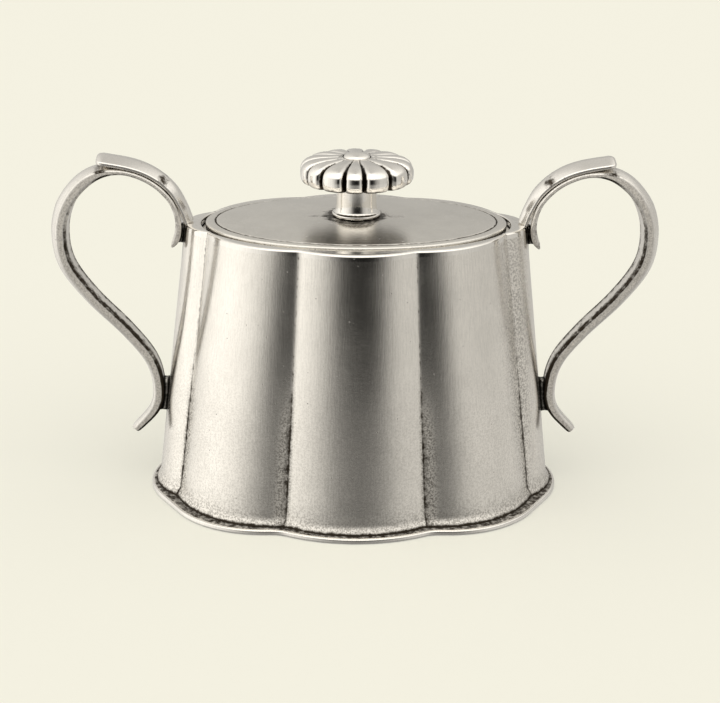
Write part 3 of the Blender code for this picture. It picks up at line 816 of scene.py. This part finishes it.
def noise_of(tree, place, scale, detail=3.0, roughness=0.55):
    """Noise from 0 to 1, with scale features to a metre."""
    values = {"Vector": place, "Scale": scale, "Detail": detail, "Roughness": roughness}
    return add_node(tree, "TexNoise", values).outputs["Fac"]


def stretched(tree, place, turn, scale):
    """Coordinates turned and then squeezed, so that a noise becomes brush marks."""
    return add_node(tree, "Mapping", {"Vector": place, "Rotation": turn, "Scale": scale}).outputs["Vector"]


def mix_colour(tree, factor, a, b, blend="MIX"):
    """Colour a blended with b. Each is a socket or three numbers."""
    node = add_node(tree, "Mix", {"Factor": factor}, data_type="RGBA", blend_type=blend)
    for socket, value in ((node.inputs[6], a), (node.inputs[7], b)):
        if isinstance(value, bpy.types.NodeSocket):
            tree.links.new(value, socket)
        else:
            socket.default_value = (*value, 1.0)
    return node.outputs[2]


def pits_of(tree, place, pitting):
    """Scattered round pits: a few cells of a pattern of cells, picked by their random colour."""
    cells = add_node(tree, "TexVoronoi", {"Vector": place, "Scale": 950.0})
    colour = add_node(tree, "SeparateColor", {"Color": cells.outputs["Color"]})
    chosen = remap(tree, colour.outputs[0], 0.97 - 0.08 * pitting, 0.99)
    return math_of(tree, "MULTIPLY", remap(tree, cells.outputs["Distance"], 0.20, 0.06), chosen)


def relief_of(tree, marks, sunk):
    """A surface normal with brush marks and, over them, pits."""
    brushed = add_node(tree, "Bump", {"Height": marks, "Strength": 0.40, "Distance": 0.00005})
    values = {"Height": sunk, "Strength": 0.35, "Distance": 0.00012, "Normal": brushed.outputs["Normal"]}
    return add_node(tree, "Bump", values).outputs["Normal"]


def antiqued_silver(name, bright, dark, roughness, brushing=(0.0, 0.0, 0.0), tarnish=0.0, pitting=0.5,
                    speckle=0.75, coarseness=0.36):
    """Worn silver: polished where it stands out and black in the hollows and where shade is painted on, with
    brush marks, mottling and pits. speckle and coarseness are how dark and how dull its grainy areas are."""
    material = bpy.data.materials.new(name)
    material.use_nodes = True
    tree = material.node_tree
    shader = tree.nodes["Principled BSDF"]
    shader.inputs["Metallic"].default_value = 1.0
    place = add_node(tree, "TexCoord").outputs["Object"]
    patina_and_shade = add_node(tree, "Attribute", attribute_name="patina_and_shade").outputs["Fac"]
    grain = add_node(tree, "Attribute", attribute_name="grain").outputs["Fac"]

    clouds = noise_of(tree, place, 90, 3.0, 0.6)
    mottle = noise_of(tree, place, 620, 5.0, 0.75)
    specks = noise_of(tree, place, 1900, 3.0, 0.7)
    fine = noise_of(tree, stretched(tree, place, brushing, (1, 1, 0.015)), 2600, 2.0, 0.6)
    broad = noise_of(tree, stretched(tree, place, brushing, (1, 1, 0.03)), 420, 3.0, 0.6)
    strays = noise_of(tree, stretched(tree, place, (0.1, 0.62, 0.2), (1, 1, 0.02)), 900, 2.0, 0.5)

    # Tarnish in the hollows and painted shade, both carried by the darkness attribute, are broken up by the
    # mottling.
    uneven = sum_of(tree, (mottle, 1.40), (broad, 0.30), (patina_and_shade, 1.0), shift=tarnish - 0.85)
    black = remap(tree, uneven, 0.36, 0.86)
    # Grainy areas are speckled dark grey.
    speckled = math_of(tree, "MULTIPLY", remap(tree, specks, 0.42, 0.60), grain)
    pits = pits_of(tree, place, pitting)
    black = math_of(tree, "MAXIMUM", black, math_of(tree, "MULTIPLY", pits, 0.8))
    black = math_of(tree, "MAXIMUM", black, math_of(tree, "MULTIPLY", speckled, speckle), clamp=True)

    worn = mix_colour(tree, remap(tree, clouds, 0.30, 0.70), tuple(c * 0.93 for c in bright), bright)
    worn = mix_colour(tree, remap(tree, fine, 0.35, 0.75, 0.0, 0.16), worn, tuple(c * 0.5 for c in bright))
    tree.links.new(mix_colour(tree, black, worn, dark), shader.inputs["Base Color"])

    rough = sum_of(tree, (clouds, 0.06), (black, 0.20), (grain, coarseness), (strays, 0.04),
                   shift=roughness - 0.05)
    tree.links.new(math_of(tree, "MAXIMUM", rough, 0.05, clamp=True), shader.inputs["Roughness"])

    marks = sum_of(tree, (fine, 0.6), (strays, 0.4))
    sunk = sum_of(tree, (pits, -1.0), (math_of(tree, "MULTIPLY", specks, grain), 1.1), (mottle, 0.30))
    tree.links.new(relief_of(tree, marks, sunk), shader.inputs["Normal"])
    return material


# ---- studio -------------------------------------------------------------------------------------

CREAM = (0.896, 0.871, 0.753)
WARM_WHITE = (1.0, 0.975, 0.92)
UNDERSIDE_GREY = (0.30, 0.30, 0.30)
FLOOR_REFLECTS = 0.80
FLOOR_GLOW = (0.840, 0.908, 0.935)  # bluer than the floor, so that light and glow add up to cream
FLOOR_GLOW_STRENGTH = 0.19
PEAK = 2.5  # a colour ramp holds no value above 1, so brightnesses are kept in it as shares of this

# The room's brightness as (azimuth, brightness), from the back round by the left, the front and the right:
# level with the bowl, below it and above it.
LEVEL_LIGHT = (
    (-180, 0.50), (-150, 0.66), (-125, 0.95), (-100, 1.22), (-78, 1.25), (-60, 1.08), (-47, 0.88),
    (-36, 0.62), (-26, 0.28), (-16, 0.07), (-4, 0.015), (10, 0.01), (21, 0.03), (31, 0.22),
    (42, 0.56), (56, 0.66), (80, 0.54), (110, 0.60), (150, 0.50), (180, 0.50),
)
LOW_LIGHT = (
    (-180, 0.52), (-125, 0.95), (-95, 1.22), (-70, 1.15), (-50, 0.92), (-34, 0.66), (-18, 0.38),
    (0, 0.25), (14, 0.26), (28, 0.42), (45, 0.68), (90, 0.72), (140, 0.60), (180, 0.52),
)
HIGH_LIGHT = (
    (-180, 0.56), (-140, 0.75), (-90, 1.3), (-30, 1.5), (30, 1.5), (90, 1.2), (140, 0.75), (180, 0.56),
)


def ramp_of(tree, value, stops):
    """A smooth brightness curve through (position, brightness) stops."""
    node = add_node(tree, "ValToRGB", {"Fac": value})
    ramp = node.color_ramp
    ramp.interpolation = "B_SPLINE"
    while len(ramp.elements) < len(stops):
        ramp.elements.new(0.5)
    for element, (position, brightness) in zip(ramp.elements, stops):
        element.position = position
        element.color = (brightness / PEAK, brightness / PEAK, brightness / PEAK, 1)
    return mix_colour(tree, 1.0, node.outputs["Color"], (PEAK, PEAK, PEAK), "MULTIPLY")


def compass(degrees):
    """Where an azimuth lies from 0 to 1: 0 degrees is the front, 90 the right."""
    return (degrees + 180) / 360


def studio_light():
    """A room of soft light: a bright side on the left, a weaker one on the right, a bright top and a dark gap
    in front. The background itself is plain cream."""
    world = bpy.data.worlds.new("studio")
    bpy.context.scene.world = world
    world.use_nodes = True
    tree = world.node_tree
    way = add_node(tree, "SeparateXYZ", {0: add_node(tree, "TexCoord").outputs["Generated"]})
    x, y, z = way.outputs
    turn = math_of(tree, "ARCTAN2", x, math_of(tree, "MULTIPLY", y, -1.0))
    turn = math_of(tree, "ADD", math_of(tree, "DIVIDE", turn, 2 * math.pi), 0.5)
    # Degrees above the horizon.
    tilt = math_of(tree, "MULTIPLY", math_of(tree, "ARCSINE", z), 180 / math.pi)
    low, level, high = [
        ramp_of(tree, turn, [(compass(azimuth), brightness) for azimuth, brightness in curve])
        for curve in (LOW_LIGHT, LEVEL_LIGHT, HIGH_LIGHT)
    ]
    light = mix_colour(tree, remap(tree, tilt, -17.0, -9.0), low, level)
    light = mix_colour(tree, remap(tree, tilt, 14.0, 32.0), light, high)
    light = mix_colour(tree, remap(tree, tilt, -28.0, -55.0), light, UNDERSIDE_GREY)
    light = mix_colour(tree, 1.0, light, WARM_WHITE, "MULTIPLY")
    seen = add_node(tree, "LightPath").outputs["Is Camera Ray"]
    background = tree.nodes["Background"]
    tree.links.new(mix_colour(tree, seen, light, CREAM), background.inputs["Color"])


def pale_floor():
    """A wide cream floor that takes a soft contact shadow. The silver reflects the room in its place."""
    half = 6.0
    corners = [(-half, -half, 0), (half, -half, 0), (half, half, 0), (-half, half, 0)]
    mesh = bpy.data.meshes.new("floor")
    mesh.from_pydata(corners, [], [(0, 1, 2, 3)])
    material = bpy.data.materials.new("cream_floor")
    material.use_nodes = True
    shader = material.node_tree.nodes["Principled BSDF"]
    shader.inputs["Base Color"].default_value = (*(c * FLOOR_REFLECTS for c in CREAM), 1)
    shader.inputs["Roughness"].default_value = 1.0
    shader.inputs["Specular IOR Level"].default_value = 0.0
    shader.inputs["Emission Color"].default_value = (*FLOOR_GLOW, 1)
    shader.inputs["Emission Strength"].default_value = FLOOR_GLOW_STRENGTH
    mesh.materials.append(material)
    floor = bpy.data.objects.new("floor", mesh)
    bpy.context.scene.collection.objects.link(floor)
    floor.visible_glossy = False


def studio_camera():
    """A camera a little above the bowl and 0.44 m from it, almost square on to its front."""
    turned = math.radians(-1.089)
    above = math.radians(19.815)
    looks_down = math.radians(19.96)
    looks_aside = math.radians(0.194)
    tipped = math.radians(0.642)
    away = 0.435773
    middle_of_bowl = 0.040
    place = Vector((0, -away * math.cos(above), away * math.sin(above) + middle_of_bowl))
    level = math.cos(looks_down)
    ahead = Vector((math.sin(looks_aside) * level, math.cos(looks_aside) * level, -math.sin(looks_down)))
    right = ahead.cross(Vector((0, 0, 1))).normalized()
    up = right.cross(ahead)
    across = right * math.cos(tipped) + up * math.sin(tipped)
    upward = up * math.cos(tipped) - right * math.sin(tipped)
    pose = Matrix((across, upward, -ahead)).transposed().to_4x4()
    pose.translation = place
    camera = bpy.data.cameras.new("camera")
    camera.sensor_width = 36
    camera.lens = 78.85
    seat = bpy.data.objects.new("camera", camera)
    bpy.context.scene.collection.objects.link(seat)
    seat.matrix_world = Matrix.Rotation(turned, 4, "Z") @ pose
    bpy.context.scene.camera = seat


# ---- assembly -----------------------------------------------------------------------------------


def main():
    """Every piece, the hidden ones' materials, the studio and the camera."""
    wall = antiqued_silver("brushed_wall", (0.96, 0.925, 0.865), TARNISH_AND_SHADE, 0.15, pitting=0.35)
    plate = antiqued_silver("brushed_plate", (0.86, 0.83, 0.775), TARNISH_AND_SHADE, 0.25,
                            brushing=(0.0, 1.45, 0.5))
    polished = antiqued_silver("worn_polish", (0.96, 0.93, 0.88), DEEP_TARNISH_AND_SHADE, 0.10,
                               brushing=(0.0, 1.3, 0.0), pitting=0.25)
    cast = antiqued_silver("cast_silver", (0.95, 0.92, 0.87), TARNISH_AND_SHADE, 0.15,
                           brushing=(0.2, 0.5, 0.0), pitting=0.8, speckle=0.22, coarseness=0.62)
    # Darkened silver: tarnish, and painted shade on the recessed handle lugs.
    dark = antiqued_silver("tarnished_and_shaded_silver", (0.55, 0.53, 0.49), OLDEST_TARNISH_AND_SHADE, 0.40, tarnish=0.25)
    body_wall(wall)
    foot_plate(cast)
    rim_collar(polished)
    lid(plate)
    knob_petals(polished)
    knob_button(polished)
    knob_pillar(polished)
    handles(cast, dark)
    for name in ("lid_seat_ring", "lid_locating_ring"):
        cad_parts[name].material_slots[0].material = plate
    for name in ("knob_stud", "knob_washer", "knob_nut"):
        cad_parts[name].material_slots[0].material = dark
    studio_light()
    pale_floor()
    studio_camera()
    bpy.context.scene.view_settings.view_transform = "Standard"


main()
